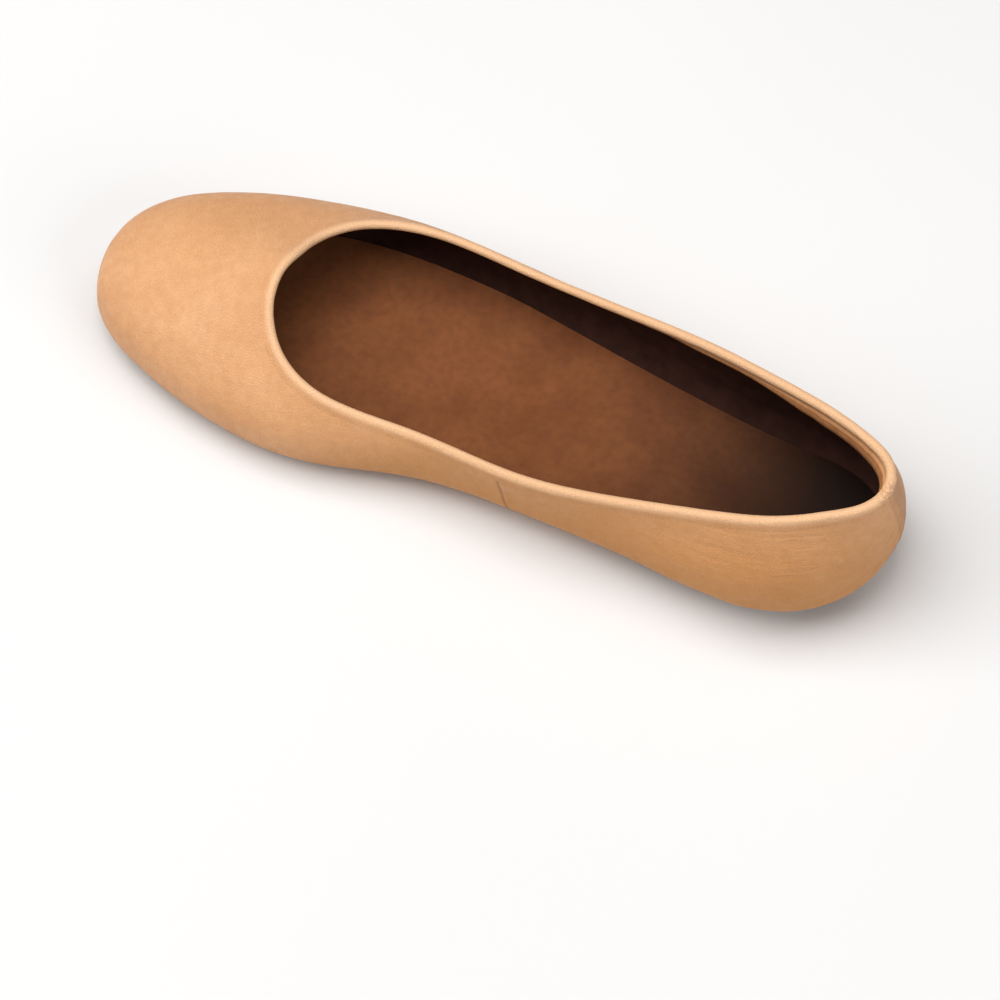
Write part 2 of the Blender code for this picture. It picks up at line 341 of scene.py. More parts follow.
def across(line, point):
    """Where a point lies on a fold or seam, 0 to 1, and how far beside it."""
    u, v = seen_from(line.seen, point)
    run_u, run_v = line.end[0] - line.start[0], line.end[1] - line.start[1]
    length = math.hypot(run_u, run_v)
    off_u, off_v = u - line.start[0], v - line.start[1]
    share = (off_u * run_u + off_v * run_v) / length**2
    beside = (off_v * run_u - off_u * run_v) / length
    inside = min(1.0, max(0.0, share))
    return share, beside - 4.0 * line.bow * inside * (1.0 - inside)


def folds_height(point, normal):
    height = 0.0
    for fold in FOLDS:
        if on_side(fold.seen, point, normal):
            share, beside = across(fold, point)
            height += fold.height * bell(beside / fold.width) * bell(2.0 * share - 1.0)
    return height


def throat_trough(point, below):
    deep = ramp(along_shoe(point), THROAT_START, THROAT_FULL)
    deep *= ramp(point.y / MM, THROAT_OUTER, THROAT_INNER)
    return -THROAT_TROUGH * deep * bell((below - THROAT_TROUGH_BELOW) / THROAT_TROUGH_WIDTH)


def seam_height(seam, point, normal):
    """Height of the leather at a seam, and how dark the seam makes it there."""
    if not on_side(seam.seen, point, normal):
        return 0.0, 0.0
    share, beside = across(seam, point)
    # It deepens over its first eighth, and ends just past its lower end.
    strong = ramp(share, -0.02, 0.12) * (1.0 - ramp(share, 1.0, 1.05))
    valley = -seam.depth * max(0.0, 1.0 - abs(beside) / SEAM_HALF_WIDTH) ** 1.5
    pads = SEAM_PAD * bell((abs(beside) - SEAM_PAD_AT) / SEAM_PAD_AT)
    dark = seam.dark * math.exp(-((beside / seam.soft) ** 2))
    panel = ramp(-beside, 0.0, PANEL_DARK) * (1.0 - ramp(-beside, PANEL_FADE, PANEL_CLEAR))
    dark += seam.beyond * panel
    return (valley + pads) * strong, dark * strong


def gathers(point):
    """Depth of the creases between the small gathers at the top of the back seam."""
    near = bell((point - SEAM_TOP).length / MM / GATHER_REACH)
    if near == 0.0:
        return 0.0
    nearest, second = noise.voronoi(point / (GATHER_SIZE * MM))[0][:2]
    crease = 1.0 - ramp(second - nearest, 0.0, GATHER_CREASE)
    return GATHER_DEPTH * (crease - GATHER_PUFF) * near


def wrinkles(point):
    """Fine creases that run round the heel and along the quarters."""
    near = 1.0 - ramp(along_shoe(point), 0.6 * WRINKLE_END, WRINKLE_END)
    if near == 0.0:
        return 0.0
    stretched = Vector((
        point.x / WRINKLE_LENGTH,
        point.y / WRINKLE_LENGTH,
        (point.z + WRINKLE_SLOPE * point.x) / WRINKLE_SPACING,
    )) / MM
    return WRINKLE_HEIGHT * noise.noise(stretched) * near


def unevenness(point):
    """The slow waviness of leather pulled over a last by hand."""
    return 0.10 * ripple(point, 17.0) + 0.05 * ripple(point, 6.0)


def core(point):
    """The nearest point of a line through the middle of the foot."""
    x = min(from_heel(CORE_FRONT), max(from_heel(CORE_BACK), point.x))
    return Vector((x, 0.0, CORE_HEIGHT * MM))


def is_outside(point, normal):
    return (point - core(point)).dot(normal) > 0.0


def refine(shape, chosen, cuts):
    """Divides the faces that chosen picks, with the new points rounded in."""
    faces = [face for face in shape.faces if chosen(face.calc_center_median(), face.normal)]
    bmesh.ops.subdivide_edges(
        shape,
        edges=list({edge for face in faces for edge in face.edges}),
        cuts=cuts,
        use_grid_fill=True,
        smooth=1.0,
        smooth_falloff="LINEAR",
    )
    shape.normal_update()


def near_seam(centre, normal):
    for seam in SEAMS:
        if on_side(seam.seen, centre, normal) and is_outside(centre, normal):
            share, beside = across(seam, centre)
            if abs(beside) < SEAM_REACH and -0.1 < share < 1.1:
                return True
    return False


def near_gathers(centre, normal):
    return (centre - SEAM_TOP).length < GATHER_REACH * MM


# ----------------------------------------------------------------- materials

# A Mix node's sockets for colours.
SHARE, FIRST, SECOND = 0, 6, 7


def linear(colour):
    """An sRGB hex colour as a shader's linear colour."""
    channels = [int(colour[i:i + 2], 16) / 255.0 for i in (1, 3, 5)]
    return (*[c / 12.92 if c <= 0.04045 else ((c + 0.055) / 1.055) ** 2.4 for c in channels], 1.0)


def per_mm(size):
    """A texture's scale for a pattern whose features are this many millimetres."""
    return 1.0 / (size * MM)


def output(node):
    """A node's first output in use."""
    return next(socket for socket in node.outputs if socket.enabled)


def add(tree, kind, inputs, **settings):
    """Adds a node. inputs feeds its sockets with values, nodes or nodes' sockets."""
    made = tree.nodes.new(kind)
    for setting, value in settings.items():
        setattr(made, setting, value)
    for socket, value in inputs.items():
        if isinstance(value, bpy.types.Node):
            value = output(value)
        if isinstance(value, bpy.types.NodeSocket):
            tree.links.new(value, made.inputs[socket])
        else:
            made.inputs[socket].default_value = value
    return made


def start_material(name, roughness, specular):
    """A new material, with its nodes, its shader and the piece's own coordinates."""
    material = bpy.data.materials.new(name)
    material.use_nodes = True
    tree = material.node_tree
    shader = tree.nodes["Principled BSDF"]
    shader.inputs["Roughness"].default_value = roughness
    shader.inputs["Specular IOR Level"].default_value = specular
    return material, tree, shader, add(tree, "ShaderNodeTexCoord", {}).outputs["Object"]


def finish_material(tree, shader, colour, relief):
    """Gives the shader its colour and its relief."""
    tree.links.new(output(colour), shader.inputs["Base Color"])
    tree.links.new(output(relief), shader.inputs["Normal"])


def tan_nappa():
    """Drum-dyed nappa leather with a thin clear finish: a cloudy tan, a fine
    pebbled grain, a few faint veins and a soft sheen that breaks up over them."""
    material, tree, shader, place = start_material("tan_nappa_leather", 0.52, 0.3)
    cloud = add(tree, "ShaderNodeTexNoise", {"Vector": place, "Scale": per_mm(24.0)})
    cloud = add(tree, "ShaderNodeMapRange", {"Value": cloud, "From Min": 0.35, "From Max": 0.65})
    base = add(
        tree,
        "ShaderNodeMix",
        {SHARE: cloud, FIRST: linear("#DAA16F"), SECOND: linear("#E2AB7A")},
        data_type="RGBA",
    )
    mottle = add(
        tree,
        "ShaderNodeTexNoise",
        {"Vector": place, "Scale": per_mm(3.2), "Detail": 4.0},
    )
    blotches = add(
        tree,
        "ShaderNodeMapRange",
        {"Value": mottle, "From Min": 0.35, "From Max": 0.75, "To Max": 0.3},
    )
    base = add(
        tree,
        "ShaderNodeMix",
        {SHARE: blotches, FIRST: base, SECOND: linear("#C1855A")},
        data_type="RGBA",
    )

    # Painted shade: the leather is painted darker and more golden towards the sole, in a high
    # band along the quarters, which narrows under the vamp.
    axes = add(tree, "ShaderNodeSeparateXYZ", {"Vector": place})
    reach = add(
        tree,
        "ShaderNodeMapRange",
        {
            "Value": axes.outputs["X"],
            "From Min": from_heel(110.0),
            "From Max": from_heel(180.0),
            "To Min": 68.0 * MM,
            "To Max": 14.0 * MM,
        },
        interpolation_type="SMOOTHSTEP",
    )
    painted_low_shade = add(
        tree,
        "ShaderNodeMapRange",
        {
            "Value": axes.outputs["Z"],
            "From Min": 4.0 * MM,
            "From Max": reach,
            "To Min": 0.8,
            "To Max": 0.0,
        },
        interpolation_type="SMOOTHSTEP",
    )
    base = add(
        tree,
        "ShaderNodeMix",
        {SHARE: painted_low_shade, FIRST: base, SECOND: linear("#BD7B27")},
        data_type="RGBA",
    )
    # Painted highlight: it is painted paler over the rounded topline.
    topline_highlight = add(tree, "ShaderNodeAttribute", {}, attribute_name="topline_highlight")
    base = add(
        tree,
        "ShaderNodeMix",
        {SHARE: topline_highlight.outputs["Fac"], FIRST: base, SECOND: linear("#F3C79C")},
        data_type="RGBA",
    )

    # Real grain is about 0.4 mm. It is drawn at 0.8 mm, so that it shows.
    warp = add(tree, "ShaderNodeTexNoise", {"Vector": place, "Scale": per_mm(1.6)})
    bent = add(
        tree,
        "ShaderNodeVectorMath",
        {0: warp.outputs["Color"], 1: (0.6 * MM, 0.6 * MM, 0.6 * MM), 2: place},
        operation="MULTIPLY_ADD",
    )
    pebbles = add(
        tree,
        "ShaderNodeTexVoronoi",
        {"Vector": bent, "Scale": per_mm(0.8)},
        feature="DISTANCE_TO_EDGE",
    )
    grain = add(tree, "ShaderNodeMapRange", {"Value": pebbles, "From Max": 0.3})
    creases = add(
        tree,
        "ShaderNodeMapRange",
        {"Value": pebbles, "From Max": 0.2, "To Min": 0.22, "To Max": 0.0},
    )
    base = add(
        tree,
        "ShaderNodeMix",
        {SHARE: creases, FIRST: base, SECOND: linear("#A86A3E")},
        data_type="RGBA",
    )
    # The seams are darker, and the creases between the gathers are darkened as painted shade.
    stain_and_shade = add(tree, "ShaderNodeAttribute", {}, attribute_name="stain_and_shade")
    base = add(
        tree,
        "ShaderNodeMix",
        {SHARE: stain_and_shade.outputs["Fac"], FIRST: base, SECOND: linear("#7A4524")},
        data_type="RGBA",
    )

    shine = add(
        tree,
        "ShaderNodeMapRange",
        {"Value": mottle, "From Min": 0.3, "From Max": 0.7, "To Min": 0.44, "To Max": 0.58},
    )
    tree.links.new(output(shine), shader.inputs["Roughness"])

    relief = add(tree, "ShaderNodeBump", {"Height": grain, "Distance": 0.07 * MM})
    pores = add(tree, "ShaderNodeTexNoise", {"Vector": place, "Scale": per_mm(0.5)})
    relief = add(
        tree,
        "ShaderNodeBump",
        {"Height": pores, "Distance": 0.05 * MM, "Normal": relief},
    )
    # Pulling it over the last draws fine lines round the heel, which are fainter
    # along the quarters. They are nine times longer than wide.
    drawn = add(
        tree,
        "ShaderNodeMapping",
        {"Vector": place, "Rotation": (0.0, WRINKLE_SLOPE, 0.0), "Scale": (9.0, 9.0, 1.0)},
        vector_type="TEXTURE",
    )
    lines = add(
        tree,
        "ShaderNodeTexNoise",
        {"Vector": drawn, "Scale": per_mm(1.4), "Detail": 2.0},
    )
    strength = add(
        tree,
        "ShaderNodeMapRange",
        {
            "Value": axes.outputs["X"],
            "From Min": from_heel(20.0),
            "From Max": from_heel(75.0),
            "To Min": 1.0,
            "To Max": 0.25,
        },
    )
    relief = add(
        tree,
        "ShaderNodeBump",
        {"Strength": strength, "Height": lines, "Distance": 0.42 * MM, "Normal": relief},
    )
    # Veins are where a slow pattern crosses its middle value.
    veins = add(
        tree,
        "ShaderNodeTexNoise",
        {"Vector": place, "Scale": per_mm(9.0), "Detail": 3.0, "Roughness": 0.6},
    )
    veins = add(tree, "ShaderNodeMath", {0: veins, 1: 0.5}, operation="SUBTRACT")
    veins = add(tree, "ShaderNodeMath", {0: veins}, operation="ABSOLUTE")
    veins = add(tree, "ShaderNodeMapRange", {"Value": veins, "From Max": 0.03})
    relief = add(
        tree,
        "ShaderNodeBump",
        {"Height": veins, "Distance": 0.035 * MM, "Normal": relief},
    )
    finish_material(tree, shader, base, relief)
    return material


def brown_lining():
    """Unfinished lining leather, dyed nearly black brown: matt, with open pores."""
    material, tree, shader, place = start_material("brown_lining_leather", 0.85, 0.12)
    mottle = add(
        tree,
        "ShaderNodeTexNoise",
        {"Vector": place, "Scale": per_mm(5.0), "Detail": 5.0},
    )
    mottle = add(tree, "ShaderNodeMapRange", {"Value": mottle, "From Min": 0.3, "From Max": 0.7})
    base = add(
        tree,
        "ShaderNodeMix",
        {SHARE: mottle, FIRST: linear("#2C1710"), SECOND: linear("#3B2119")},
        data_type="RGBA",
    )
    pores = add(tree, "ShaderNodeTexNoise", {"Vector": place, "Scale": per_mm(0.5)})
    relief = add(tree, "ShaderNodeBump", {"Height": pores, "Distance": 0.06 * MM})
    finish_material(tree, shader, base, relief)
    return material


def sock_leather():
    """The sock under the foot: smooth chestnut leather with a dull polish, and painted shade that
    darkens it towards the heel."""
    material, tree, shader, place = start_material("chestnut_sock_leather", 0.7, 0.12)
    cloud = add(tree, "ShaderNodeTexNoise", {"Vector": place, "Scale": per_mm(16.0)})
    cloud = add(tree, "ShaderNodeMapRange", {"Value": cloud, "From Min": 0.35, "From Max": 0.65})
    base = add(
        tree,
        "ShaderNodeMix",
        {SHARE: cloud, FIRST: linear("#764426"), SECOND: linear("#834E2D")},
        data_type="RGBA",
    )
    mottle = add(
        tree,
        "ShaderNodeTexNoise",
        {"Vector": place, "Scale": per_mm(2.6), "Detail": 5.0},
    )
    blotches = add(
        tree,
        "ShaderNodeMapRange",
        {"Value": mottle, "From Min": 0.4, "From Max": 0.8, "To Max": 0.4},
    )
    base = add(
        tree,
        "ShaderNodeMix",
        {SHARE: blotches, FIRST: base, SECOND: linear("#553020")},
        data_type="RGBA",
    )
    length = add(tree, "ShaderNodeSeparateXYZ", {"Vector": place}).outputs["X"]
    # Painted shade: the sock is painted darker towards the heel, deep inside the shoe.
    heel_painted_shade = add(
        tree,
        "ShaderNodeMapRange",
        {
            "Value": length,
            "From Min": from_heel(15.0),
            "From Max": from_heel(115.0),
            "To Min": 1.0,
            "To Max": 0.0,
        },
        interpolation_type="SMOOTHSTEP",
    )
    base = add(
        tree,
        "ShaderNodeMix",
        {SHARE: heel_painted_shade, FIRST: base, SECOND: linear("#1A0E08")},
        data_type="RGBA",
    )
    pores = add(
        tree,
        "ShaderNodeTexNoise",
        {"Vector": place, "Scale": per_mm(0.6), "Detail": 3.0},
    )
    relief = add(tree, "ShaderNodeBump", {"Height": pores, "Distance": 0.06 * MM})
    relief = add(
        tree,
        "ShaderNodeBump",
        {"Height": mottle, "Distance": 0.06 * MM, "Normal": relief},
    )
    finish_material(tree, shader, base, relief)
    return material


def facing_leather():
    """The strip inside the heel: tan nappa above, and below its crease the rough brown underside,
    whose brown is partly painted shade. The groove under the roll and the crease are painted
    brown as shade."""
    material, tree, shader, place = start_material("facing_leather", 0.7, 0.3)
    mottle = add(
        tree,
        "ShaderNodeTexNoise",
        {"Vector": place, "Scale": per_mm(2.0), "Detail": 4.0},
    )
    mottle = add(tree, "ShaderNodeMapRange", {"Value": mottle, "From Min": 0.3, "From Max": 0.7})
    grain_side = add(
        tree,
        "ShaderNodeMix",
        {SHARE: mottle, FIRST: linear("#D69E6C"), SECOND: linear("#C68A58")},
        data_type="RGBA",
    )
    underside_and_shade = add(
        tree,
        "ShaderNodeMix",
        {SHARE: mottle, FIRST: linear("#AA6E3F"), SECOND: linear("#8A5430")},
        data_type="RGBA",
    )
    flesh = add(tree, "ShaderNodeAttribute", {}, attribute_name="flesh")
    base = add(
        tree,
        "ShaderNodeMix",
        {SHARE: flesh.outputs["Fac"], FIRST: grain_side, SECOND: underside_and_shade},
        data_type="RGBA",
    )
    nap = add(
        tree,
        "ShaderNodeTexNoise",
        {"Vector": place, "Scale": per_mm(0.5), "Detail": 3.0},
    )
    relief = add(tree, "ShaderNodeBump", {"Height": nap, "Distance": 0.07 * MM})
    finish_material(tree, shader, base, relief)
    return material


def sole_rubber(name, dark, light):
    """Moulded sole rubber: matt, with the fine spark texture of its mould."""
    material, tree, shader, place = start_material(name, 0.75, 0.35)
    mottle = add(
        tree,
        "ShaderNodeTexNoise",
        {"Vector": place, "Scale": per_mm(7.0), "Detail": 4.0},
    )
    mottle = add(tree, "ShaderNodeMapRange", {"Value": mottle, "From Min": 0.3, "From Max": 0.7})
    base = add(
        tree,
        "ShaderNodeMix",
        {SHARE: mottle, FIRST: linear(dark), SECOND: linear(light)},
        data_type="RGBA",
    )
    spark = add(
        tree,
        "ShaderNodeTexNoise",
        {"Vector": place, "Scale": per_mm(0.45), "Detail": 1.0},
    )
    relief = add(tree, "ShaderNodeBump", {"Height": spark, "Distance": 0.06 * MM})
    finish_material(tree, shader, base, relief)
    return material


def floor_paper():
    """Seamless backdrop paper: nearly white, quite matt, with a faint tooth."""
    material, tree, shader, place = start_material("white_backdrop_paper", 0.95, 0.1)
    cloud = add(tree, "ShaderNodeTexNoise", {"Vector": place, "Scale": per_mm(300.0)})
    base = add(
        tree,
        "ShaderNodeMix",
        {SHARE: cloud, FIRST: linear("#E3E2E1"), SECOND: linear("#E8E7E6")},
        data_type="RGBA",
    )
    tooth = add(tree, "ShaderNodeTexNoise", {"Vector": place, "Scale": per_mm(1.5)})
    relief = add(tree, "ShaderNodeBump", {"Height": tooth, "Distance": 0.02 * MM})
    finish_material(tree, shader, base, relief)
    return material


TAN = tan_nappa()
LINING = brown_lining()
SOCK = sock_leather()
FACING = facing_leather()


# --------------------------------------------------------------------- upper

skin = rounded(quad_copy("upper"), HALVINGS)
inner_line, outer_line = sorted(rim_lines(skin)[-2:], key=length_in_x)
outer_edge = stations(outer_line, inner_line)
inner_edge = stations(inner_line, outer_line)
topline_place = nearest_on(outer_line)
SEAM_TOP = min(
    (station.point for station in outer_edge if station.point.x < 0.0),
    key=lambda point: abs(point.y - SEAMS[-1].start[0] * MM),
).copy()

refine(skin, near_seam, SEAM_CUTS)
refine(skin, near_gathers, GATHER_CUTS)


def shape_upper(shape):
    """Moves the outer face: lip, folds, seams, gathers, wrinkles and unevenness."""
    stain_and_shade = shape.verts.layers.float.new("stain_and_shade")
    moves = []
    for vertex in shape.verts:
        point, normal = vertex.co, vertex.normal
        if not is_outside(point, normal):
            continue
        below = (topline_place(point) - point).length / MM
        height = LIP_SWELL * (1.0 - ramp(below, SMOOTH_LIP, LIP_FADE))
        height += folds_height(point, normal) * ramp(below, SMOOTH_LIP, FOLDS_FULL)
        height += throat_trough(point, below)
        height += unevenness(point) + wrinkles(point)
        gathered = gathers(point)
        height -= gathered
        # The gathers' creases are darkened as painted shade, more the deeper they are.
        dark = max(0.0, GATHER_SHADE * gathered)
        for seam in SEAMS:
            seam_part, seam_dark = seam_height(seam, point, normal)
            height += seam_part
            dark = max(dark, seam_dark)
        vertex[stain_and_shade] = min(1.0, dark)
        # The turned-in margin stays put, against the sole.
        height *= ramp(point.z / MM, MARGIN_HEIGHT, FREE_HEIGHT)
        moves.append((vertex, normal * height * MM))
    for vertex, move in moves:
        vertex.co += move
    shape.normal_update()
    for face in shape.faces:
        face.material_index = 0 if is_outside(face.calc_center_median(), face.normal) else 1


shape_upper(skin)
leather_surface = BVHTree.FromBMesh(skin)
new_piece("upper_leather", skin, [TAN, LINING], node="upper")


# ------------------------------------------------------- strips on the topline


def on_leather(start, clear):
    """The place this far above the leather, nearest to a start."""
    touch, normal, _, _ = leather_surface.find_nearest(start)
    return touch + normal * clear * MM


def sweep(edge, section, closed):
    """Draws a section along stations, by extruding a line of edges row after row.

    section holds a function of a station for each row. Returns the shape and its
    first and last lines of edges. Each point keeps its column and its row.
    """
    shape = bmesh.new()
    column = shape.verts.layers.int.new("column")
    row_of = shape.verts.layers.int.new("row")
    line = []
    points = []
    for number, station in enumerate(edge):
        points.append(shape.verts.new(station.point))
        points[-1][column] = number
    for number in range(len(points) if closed else len(points) - 1):
        line.append(shape.edges.new((points[number], points[(number + 1) % len(points)])))
    first = list(line)
    for row, place_in_row in enumerate(section):
        if row:
            grown = bmesh.ops.extrude_edge_only(shape, edges=line)["geom"]
            points = [item for item in grown if isinstance(item, bmesh.types.BMVert)]
            ends = set(points)
            line = [item for item in grown if isinstance(item, bmesh.types.BMEdge)]
            line = [item for item in line if set(item.verts) <= ends]
        for vertex in points:
            vertex.co = place_in_row(edge[vertex[column]])
            vertex[row_of] = row
    return shape, first, line


# Section of the rolled topline. out and down start from the outer corner of the
# upper's edge, and clear is the height above the leather that it lies against.
RollPoint = namedtuple("RollPoint", "out down clear")
ROLL_OUTSIDE = [
    RollPoint(0.6, 3.2, -0.05),
    RollPoint(0.6, 2.7, 0.06),
    RollPoint(0.7, 2.1, 0.16),
    RollPoint(0.8, 1.5, 0.27),
    RollPoint(0.9, 0.9, 0.37),
    RollPoint(0.9, 0.3, 0.44),
]
ROLL_HIGHLIGHT = [0.0, 0.0, 0.0, 0.05, 0.25, 0.55]   # how much painted highlight those rows get
ROLL_TOP_HIGHLIGHT = 0.7
ROLL_INSIDE = [
    RollPoint(-WALL - 0.7, 0.7, 0.62),
    RollPoint(-WALL - 0.7, 1.4, 0.60),
    RollPoint(-WALL - 0.6, 2.0, 0.50),
    RollPoint(-WALL - 0.4, 2.35, 0.28),
    RollPoint(-WALL - 0.2, 2.4, 0.0),
    RollPoint(-WALL - 0.2, 2.2, -0.3),
    RollPoint(-WALL + 0.4, 0.4, -0.3),
    RollPoint(-0.3, 0.4, -0.3),
    RollPoint(0.3, 2.2, -0.3),
]
ROLL_FRONT_RADIUS = 1.30
ROLL_HEEL_RADIUS = 1.50
ROLL_HEEL_END = 60.0    # from the heel, where it starts to grow thinner
ROLL_FRONT_START = 130.0
ROLL_STEPS = 8
ROLL_WAVE = 0.05
ROLL_WAVE_SIZE = 5.0


def roll_radius(point):
    front = ramp(along_shoe(point), ROLL_HEEL_END, ROLL_FRONT_START)
    return ROLL_HEEL_RADIUS + (ROLL_FRONT_RADIUS - ROLL_HEEL_RADIUS) * front


def roll_top(station, angle):
    """A place on the rounded top of the roll."""
    radius = roll_radius(station.point)
    out = -WALL / 2.0 + radius * math.cos(angle)
    up = radius * math.sin(angle)
    return station.point + (station.outward * out - station.down * up) * MM


def roll_side(station, row):
    """A place on the roll's legs."""
    start = station.point + (station.outward * row.out + station.down * row.down) * MM
    return on_leather(start, row.clear)


roll_rows = [lambda station, row=row: roll_side(station, row) for row in ROLL_OUTSIDE]
for step in range(ROLL_STEPS):
    turn = math.pi * (step + 0.5) / ROLL_STEPS
    roll_rows.append(lambda station, angle=turn: roll_top(station, angle))
roll_rows += [lambda station, row=row: roll_side(station, row) for row in ROLL_INSIDE]
roll, first_line, last_line = sweep(outer_edge, roll_rows, closed=True)
bmesh.ops.bridge_loops(roll, edges=first_line + last_line)
bmesh.ops.recalc_face_normals(roll, faces=roll.faces[:])
roll_crease_shade = roll.verts.layers.float.new("stain_and_shade")
roll_highlight = roll.verts.layers.float.new("topline_highlight")
roll_row = roll.verts.layers.int["row"]
# The rows towards the roll's top, and the top itself, are painted paler: a painted highlight.
for vertex in roll.verts:
    outside = vertex[roll_row] < len(ROLL_HIGHLIGHT)
    vertex[roll_highlight] = ROLL_HIGHLIGHT[vertex[roll_row]] if outside else ROLL_TOP_HIGHLIGHT
refine(roll, near_gathers, GATHER_CUTS)
# The gathers' creases are darkened here too as painted shade, more the deeper they are.
for vertex in roll.verts:
    gathered = gathers(vertex.co)
    vertex[roll_crease_shade] = min(1.0, max(0.0, GATHER_SHADE * gathered))
    wave = ROLL_WAVE * ripple(vertex.co, ROLL_WAVE_SIZE)
    vertex.co += vertex.normal * (wave - gathered) * MM
new_piece("topline_roll", roll, [TAN], node="topline_binding")

# The facing is a padded strip inside the heel. Its upper part is tan, and below a crease lies its
# turned allowance, cut by eye. share runs down it, 0 to 1, clear is how far it stands off the
# lining, and the last column is how far its colour goes to brown. On the allowance that brown is
# partly its rough underside and partly painted shade. In the groove under the roll and in the
# crease it is only painted shade.
FacingRow = namedtuple("FacingRow", "share clear flesh")
FACING_SECTION = [
    FacingRow(0.00, -0.10, 1.0),
    FacingRow(0.01, 0.20, 0.8),
    FacingRow(0.04, 0.70, 0.1),
    FacingRow(0.09, 1.10, 0.0),
    FacingRow(0.15, 1.35, 0.0),
    FacingRow(0.19, 1.35, 0.3),
    FacingRow(0.22, 1.05, 1.3),
    FacingRow(0.25, 1.25, 1.1),
    FacingRow(0.31, 1.70, 0.8),
    FacingRow(0.45, 2.15, 0.6),
    FacingRow(0.65, 2.45, 0.7),
    FacingRow(0.85, 2.55, 0.9),
    FacingRow(0.96, 2.35, 1.1),
    FacingRow(1.00, 1.60, 1.3),
    FacingRow(0.97, -0.20, 1.3),
]
FACING_TOP = 2.3        # distance below the topline
FACING_WIDTH = 5.8      # round the back of the heel
FACING_NARROW = 1.1     # along the quarters
FACING_WIDE_END = 18.0      # from the heel, where it starts to grow narrow
FACING_NARROW_START = 62.0
FACING_TAPER = 72.0         # from here it tapers
FACING_END = 92.0           # and here it has run out
FACING_FULL = 4.5       # where it is this wide it stands off fully
FACING_WAVE = 0.45      # unevenness of its lower edge
FACING_WAVE_SIZE = 4.5


def facing_width(point):
    along = along_shoe(point)
    wide = 1.0 - ramp(along, FACING_WIDE_END, FACING_NARROW_START)
    width = FACING_NARROW + (FACING_WIDTH - FACING_NARROW) * wide
    width *= 1.0 - ramp(along, FACING_TAPER, FACING_END)
    return width + FACING_WAVE * ripple(point, FACING_WAVE_SIZE) * ramp(width, 1.0, 4.0)


def facing_place(station, row):
    width = facing_width(station.point)
    down = FACING_TOP + width * row.share
    start = station.point + (station.down * down - station.outward * 0.3) * MM
    full = min(1.0, max(0.0, width / FACING_FULL))
    return on_leather(start, row.clear * (full if row.clear > 0.0 else 1.0))


# The strip runs round the heel from where the topline comes within its reach.
in_reach = [along_shoe(station.point) < FACING_END for station in inner_edge]
start = next(i for i, near in enumerate(in_reach) if near and not in_reach[i - 1])
heel_edge = inner_edge[start:] + inner_edge[:start]
heel_edge = [station for station in heel_edge if along_shoe(station.point) < FACING_END]
facing, _, _ = sweep(
    heel_edge,
    [lambda station, row=row: facing_place(station, row) for row in FACING_SECTION],
    closed=False,
)
bmesh.ops.recalc_face_normals(facing, faces=facing.faces[:])
row_of = facing.verts.layers.int["row"]
flesh = facing.verts.layers.float.new("flesh")
for vertex in facing.verts:
    vertex[flesh] = FACING_SECTION[vertex[row_of]].flesh
facing_piece = new_piece("heel_facing", facing, [FACING])
thickness = facing_piece.modifiers.new("thickness", "SOLIDIFY")
thickness.thickness = 0.5 * MM
thickness.offset = 0.0


# ---------------------------------------------------------------------- sock

STRIP_CUTS = 15         # cuts across the foot
SOCK_DISH = 1.0         # how far its middle lies under its rim
SOCK_DISH_REACH = 20.0  # over what distance from the rim
SOCK_WAVE = 0.12
SOCK_WAVE_SIZE = 9.0


def grid_across(shape, line):
    """Fills a foot-shaped line with strips from side to side, cut into a grid."""
    heel = min(range(len(line)), key=lambda i: line[i].co.x)
    ordered = line[heel:] + line[:heel]
    rim = {frozenset(pair) for pair in zip(ordered, ordered[1:] + ordered[:1])}
    cross = set()
    for i in range(len(ordered) // 2):
        corners = [ordered[i], ordered[i + 1], ordered[len(ordered) - i - 1], ordered[-i]]
        strip = shape.faces.new(list(dict.fromkeys(corners)))
        cross |= {edge for edge in strip.edges if frozenset(edge.verts) not in rim}
    bmesh.ops.subdivide_edges(shape, edges=list(cross), cuts=STRIP_CUTS, use_grid_fill=True)
    bmesh.ops.recalc_face_normals(shape, faces=shape.faces[:])


board = quad_copy("insole")
board_rim = rim_lines(board)[-1]
lid = [face for face in board.faces if set(face.verts) <= set(board_rim)]
bmesh.ops.delete(board, geom=lid, context="FACES_ONLY")
loose = [edge for edge in board.edges if not edge.link_faces]
bmesh.ops.delete(board, geom=loose, context="EDGES")
grid_across(board, board_rim)
board = rounded(board, HALVINGS)
rim_place = nearest_on(rim_lines(board)[-1])
for vertex in board.verts:
    if vertex.normal.z > 0.5:
        inwards = (rim_place(vertex.co) - vertex.co).length / MM
        dish = SOCK_DISH * ramp(inwards, 0.0, SOCK_DISH_REACH)
        vertex.co.z -= (dish + SOCK_WAVE * ripple(vertex.co, SOCK_WAVE_SIZE)) * MM
new_piece("leather_sock", board, [SOCK], node="insole")


# ------------------------------------------------------------- sole and lift


def dress(node, surface):
    """Gives a CAD node a finish."""
    mesh = frame["nodes"][node].data
    mesh.materials.clear()
    mesh.materials.append(surface)


dress("outsole", sole_rubber("brown_sole_rubber", "#5E3F28", "#6B4A31"))
dress("heel_lift", sole_rubber("dark_lift_rubber", "#3A281C", "#453124"))


# ------------------------------------------------- floor, camera and lights

FLOOR_REACH = 3000.0
FLOOR_DROP = 0.2        # keeps the floor's face clear of the tread

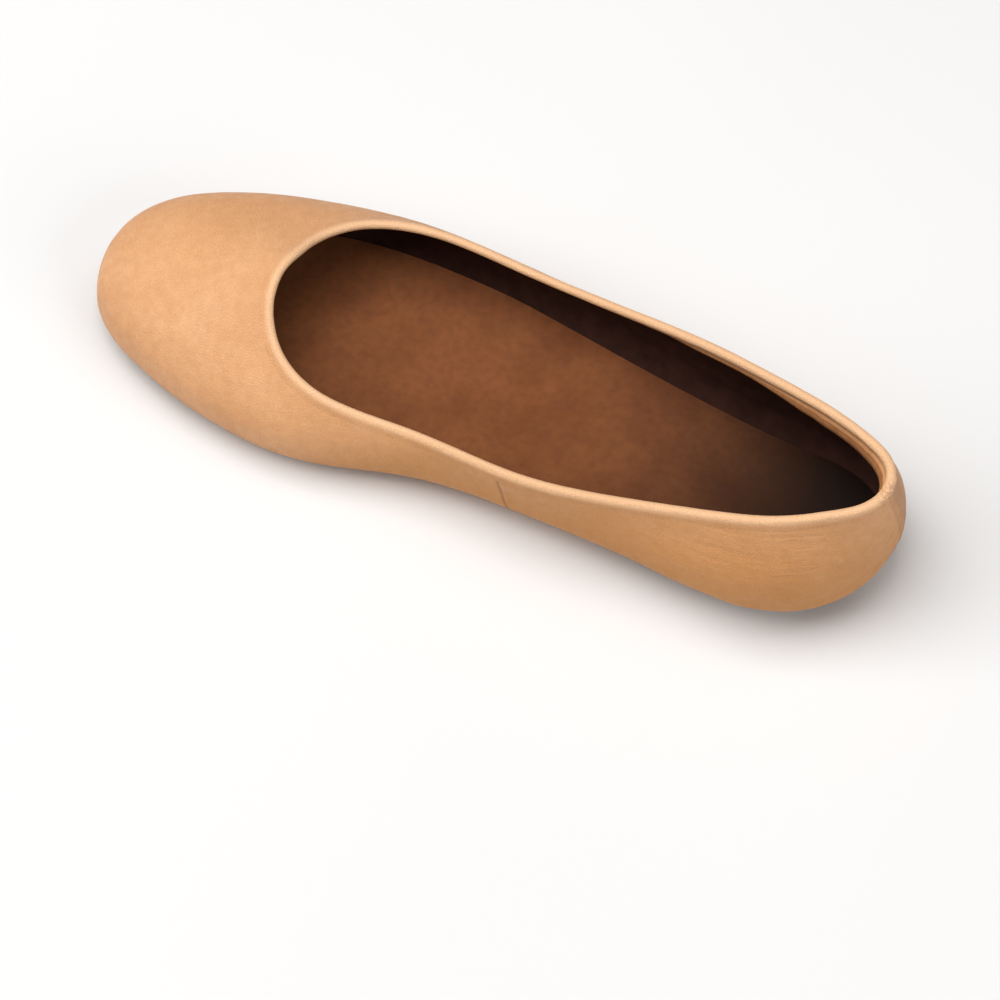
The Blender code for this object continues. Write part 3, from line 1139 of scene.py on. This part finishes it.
floor_shape = bmesh.new()
bmesh.ops.create_grid(floor_shape, x_segments=1, y_segments=1, size=FLOOR_REACH * MM)
bmesh.ops.translate(floor_shape, verts=floor_shape.verts[:], vec=(0.0, 0.0, -FLOOR_DROP * MM))
floor_mesh = bpy.data.meshes.new("floor")
floor_shape.to_mesh(floor_mesh)
floor_shape.free()
floor_mesh.materials.append(floor_paper())
floor = bpy.data.objects.new("floor", floor_mesh)
bpy.context.scene.collection.objects.link(floor)

# Looking down on the inner side from behind the heel.
AIM = Vector((-13.61, 23.57, 0.0)) * MM
VIEW_TURN = math.radians(26.05)     # from straight across the shoe towards the heel
VIEW_HEIGHT = math.radians(61.80)   # above the floor
VIEW_ROLL = math.radians(-0.68)
VIEW_DISTANCE = 1110.3 * MM
FOCAL_LENGTH = 135.38

back = Vector((
    -math.sin(VIEW_TURN) * math.cos(VIEW_HEIGHT),
    math.cos(VIEW_TURN) * math.cos(VIEW_HEIGHT),
    math.sin(VIEW_HEIGHT),
))
lens = bpy.data.cameras.new("camera")
lens.lens = FOCAL_LENGTH
lens.clip_start = 0.05
lens.clip_end = 20.0
camera = bpy.data.objects.new("camera", lens)
turn = back.to_track_quat("Z", "Y").to_matrix() @ Matrix.Rotation(VIEW_ROLL, 3, "Z")
camera.matrix_world = Matrix.Translation(AIM + back * VIEW_DISTANCE) @ turn.to_4x4()
bpy.context.scene.collection.objects.link(camera)
bpy.context.scene.camera = camera


def softbox(name, place, size, power, colour):
    """A square studio light at a place, facing the shoe."""
    light = bpy.data.lights.new(name, "AREA")
    light.shape = "SQUARE"
    light.size = size
    light.energy = power
    light.color = linear(colour)[:3]
    box = bpy.data.objects.new(name, light)
    box.location = Vector(place)
    box.rotation_mode = "QUATERNION"
    box.rotation_quaternion = Vector(place).to_track_quat("Z", "Y")
    bpy.context.scene.collection.objects.link(box)


softbox("overhead", (0.35, 0.14, 1.55), 1.3, 24.6, "#FFFFFF")
softbox("far side", (-0.53, -0.53, 1.41), 0.9, 3.6, "#FFFFFF")
softbox("front", (1.22, 0.66, 0.85), 0.9, 9.0, "#FFFFFF")
softbox("heel", (-1.32, 0.34, 0.85), 0.9, 8.3, "#FFFFFF")

world = bpy.data.worlds.new("studio")
world.use_nodes = True
sky = world.node_tree.nodes["Background"]
sky.inputs["Color"].default_value = linear("#FFFFFF")
sky.inputs["Strength"].default_value = 0.04
bpy.context.scene.world = world
bpy.context.scene.view_settings.view_transform = "Standard"
